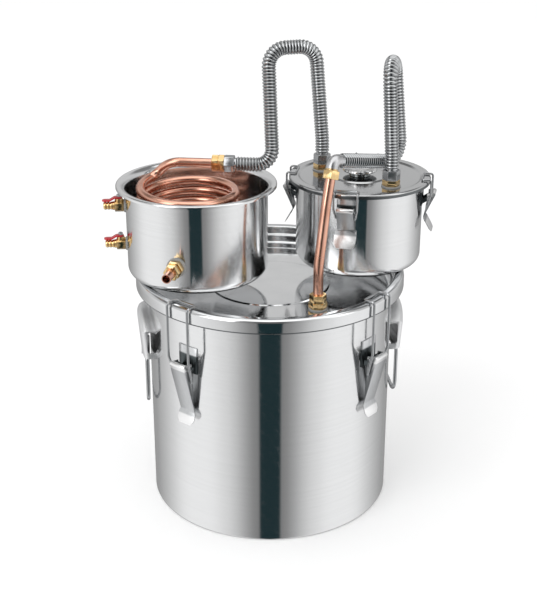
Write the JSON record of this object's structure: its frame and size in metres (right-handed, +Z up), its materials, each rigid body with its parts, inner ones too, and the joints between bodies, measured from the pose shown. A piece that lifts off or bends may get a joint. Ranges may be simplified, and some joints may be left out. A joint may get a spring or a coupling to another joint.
{
  "type": "stainless pot still",
  "caption": "Stainless still: clamped boiler with a deep lid, a small clamped keg and an open condenser pot with a copper coil, joined by copper tube and corrugated hose.",
  "frame": {"origin": "middle of the boiler's base, on the surface it stands on", "axes": "+Z up, the riser and the outlet tube face -Y, the condenser is towards -X and the keg towards +X"},
  "size_m": [0.4031, 0.3292, 0.5659],
  "materials": {
    "brushed_steel": "satin, brushed round the body",
    "polished_steel": "polished",
    "plated_steel": "bright plated",
    "hose_steel": "corrugated, half bright",
    "copper": "bright drawn copper",
    "brass": "machined",
    "red_coating": "dipped coating",
    "seal": "silicone"
  },
  "bodies": {
    "still": {"boiler_clamp_bases": "plated_steel", "boiler_clamp_pins": "plated_steel", "boiler_gasket": "seal", "boiler_lid": "polished_steel", "boiler_pot": "brushed_steel", "condenser_coil": "copper", "condenser_pot": "brushed_steel", "feed_union": "brass", "handle_bracket_left": "plated_steel", "handle_bracket_right": "plated_steel", "hose_keg_to_condenser": "hose_steel", "hose_nuts": "hose_steel", "hose_riser_to_keg": "hose_steel", "keg_clamp_bases": "plated_steel", "keg_clamp_pins": "plated_steel", "keg_dip_tube": "copper", "keg_gasket": "seal", "keg_knob": "polished_steel", "keg_knob_screw": "plated_steel", "keg_lid": "polished_steel", "keg_pot": "brushed_steel", "keg_unions": "brass", "lid_locknuts": "brass", "outlet_fitting": "brass", "port_washers": "seal", "riser_collar": "hose_steel", "riser_elbow": "hose_steel", "riser_nuts": "brass", "riser_tube": "copper", "riser_union": "brass", "valve_body_lower": "brass", "valve_body_upper": "brass", "wall_locknuts": "brass", "wall_washers": "seal"},
    "boiler_lever_1": {"boiler_lever_1": "plated_steel"},
    "boiler_bail_1": {"boiler_bail_1": "plated_steel"},
    "boiler_lever_2": {"boiler_lever_2": "plated_steel"},
    "boiler_bail_2": {"boiler_bail_2": "plated_steel"},
    "boiler_lever_3": {"boiler_lever_3": "plated_steel"},
    "boiler_bail_3": {"boiler_bail_3": "plated_steel"},
    "boiler_lever_4": {"boiler_lever_4": "plated_steel"},
    "boiler_bail_4": {"boiler_bail_4": "plated_steel"},
    "keg_lever_1": {"keg_lever_1": "plated_steel"},
    "keg_bail_1": {"keg_bail_1": "plated_steel"},
    "keg_lever_2": {"keg_lever_2": "plated_steel"},
    "keg_bail_2": {"keg_bail_2": "plated_steel"},
    "keg_lever_3": {"keg_lever_3": "plated_steel"},
    "keg_bail_3": {"keg_bail_3": "plated_steel"},
    "keg_lever_4": {"keg_lever_4": "plated_steel"},
    "keg_bail_4": {"keg_bail_4": "plated_steel"},
    "handle_ring_left": {"handle_ring_left": "plated_steel"},
    "handle_ring_right": {"handle_ring_right": "plated_steel"},
    "valve_lever_upper": {"valve_lever_upper": "red_coating", "valve_stem_upper": "plated_steel"},
    "valve_lever_lower": {"valve_lever_lower": "red_coating", "valve_stem_lower": "plated_steel"}
  },
  "joints": [
    {"name": "boiler_lever_1_hinge", "type": "hinge", "parent": "still", "child": "boiler_lever_1", "pos_m": [-0.10177, -0.12346, 0.222], "axis": [-0.7716, 0.6361, 0], "range_deg": [0, 105]},
    {"name": "boiler_bail_1_hinge", "type": "hinge", "parent": "boiler_lever_1", "child": "boiler_bail_1", "pos_m": [-0.10101, -0.12253, 0.203], "axis": [-0.7716, 0.6361, 0], "range_deg": [-141.75, 0]},
    {"name": "boiler_lever_2_hinge", "type": "hinge", "parent": "still", "child": "boiler_lever_2", "pos_m": [0.12346, -0.10177, 0.222], "axis": [-0.6361, -0.7716, 0], "range_deg": [0, 105]},
    {"name": "boiler_bail_2_hinge", "type": "hinge", "parent": "boiler_lever_2", "child": "boiler_bail_2", "pos_m": [0.12253, -0.10101, 0.203], "axis": [-0.6361, -0.7716, 0], "range_deg": [-141.75, 0]},
    {"name": "boiler_lever_3_hinge", "type": "hinge", "parent": "still", "child": "boiler_lever_3", "pos_m": [0.10177, 0.12346, 0.222], "axis": [0.7716, -0.6361, 0], "range_deg": [0, 105]},
    {"name": "boiler_bail_3_hinge", "type": "hinge", "parent": "boiler_lever_3", "child": "boiler_bail_3", "pos_m": [0.10101, 0.12253, 0.203], "axis": [0.7716, -0.6361, 0], "range_deg": [-141.75, 0]},
    {"name": "boiler_lever_4_hinge", "type": "hinge", "parent": "still", "child": "boiler_lever_4", "pos_m": [-0.12346, 0.10177, 0.222], "axis": [0.6361, 0.7716, 0], "range_deg": [0, 105]},
    {"name": "boiler_bail_4_hinge", "type": "hinge", "parent": "boiler_lever_4", "child": "boiler_bail_4", "pos_m": [-0.12253, 0.10101, 0.203], "axis": [0.6361, 0.7716, 0], "range_deg": [-141.75, 0]},
    {"name": "keg_lever_1_hinge", "type": "hinge", "parent": "still", "child": "keg_lever_1", "pos_m": [0.08744, -0.0512, 0.384], "axis": [-0.9659, 0.2588, 0], "range_deg": [0, 24]},
    {"name": "keg_bail_1_hinge", "type": "hinge", "parent": "keg_lever_1", "child": "keg_bail_1", "pos_m": [0.0878, -0.04985, 0.3765], "axis": [-0.9659, 0.2588, 0], "range_deg": [-32.4, 0]},
    {"name": "keg_lever_2_hinge", "type": "hinge", "parent": "still", "child": "keg_lever_2", "pos_m": [0.19469, 0.01452, 0.384], "axis": [-0.2079, -0.9781, 0], "range_deg": [0, 100]},
    {"name": "keg_bail_2_hinge", "type": "hinge", "parent": "keg_lever_2", "child": "keg_bail_2", "pos_m": [0.19332, 0.01481, 0.3765], "axis": [-0.2079, -0.9781, 0], "range_deg": [-135, 0]},
    {"name": "keg_lever_3_hinge", "type": "hinge", "parent": "still", "child": "keg_lever_3", "pos_m": [0.12568, 0.1178, 0.384], "axis": [0.9833, -0.1822, 0], "range_deg": [0, 100]},
    {"name": "keg_bail_3_hinge", "type": "hinge", "parent": "keg_lever_3", "child": "keg_bail_3", "pos_m": [0.12543, 0.11642, 0.3765], "axis": [0.9833, -0.1822, 0], "range_deg": [-135, 0]},
    {"name": "keg_lever_4_hinge", "type": "hinge", "parent": "still", "child": "keg_lever_4", "pos_m": [0.02477, 0.04909, 0.384], "axis": [0.1908, 0.9816, 0], "range_deg": [0, 100]},
    {"name": "keg_bail_4_hinge", "type": "hinge", "parent": "keg_lever_4", "child": "keg_bail_4", "pos_m": [0.02615, 0.04882, 0.3765], "axis": [0.1908, 0.9816, 0], "range_deg": [-135, 0]},
    {"name": "handle_ring_left_hinge", "type": "hinge", "parent": "still", "child": "handle_ring_left", "pos_m": [-0.15419, -0.01485, 0.1968], "axis": [-0.0958, 0.9954, 0], "range_deg": [0, 88]},
    {"name": "handle_ring_right_hinge", "type": "hinge", "parent": "still", "child": "handle_ring_right", "pos_m": [0.15419, 0.01485, 0.1968], "axis": [0.0958, -0.9954, 0], "range_deg": [0, 88]},
    {"name": "valve_upper_turn", "type": "hinge", "parent": "still", "child": "valve_lever_upper", "pos_m": [-0.17966, -0.01595, 0.382], "axis": [0, 0, 1], "range_deg": [0, 90]},
    {"name": "valve_lower_turn", "type": "hinge", "parent": "still", "child": "valve_lever_lower", "pos_m": [-0.17966, -0.01595, 0.334], "axis": [0, 0, 1], "range_deg": [0, 90]}
  ],
  "couplings": [
    {"joint": "boiler_bail_1_hinge", "follows": "boiler_lever_1_hinge", "ratio": -1.35},
    {"joint": "boiler_bail_2_hinge", "follows": "boiler_lever_2_hinge", "ratio": -1.35},
    {"joint": "boiler_bail_3_hinge", "follows": "boiler_lever_3_hinge", "ratio": -1.35},
    {"joint": "boiler_bail_4_hinge", "follows": "boiler_lever_4_hinge", "ratio": -1.35},
    {"joint": "keg_bail_1_hinge", "follows": "keg_lever_1_hinge", "ratio": -1.35},
    {"joint": "keg_bail_2_hinge", "follows": "keg_lever_2_hinge", "ratio": -1.35},
    {"joint": "keg_bail_3_hinge", "follows": "keg_lever_3_hinge", "ratio": -1.35},
    {"joint": "keg_bail_4_hinge", "follows": "keg_lever_4_hinge", "ratio": -1.35}
  ]
}
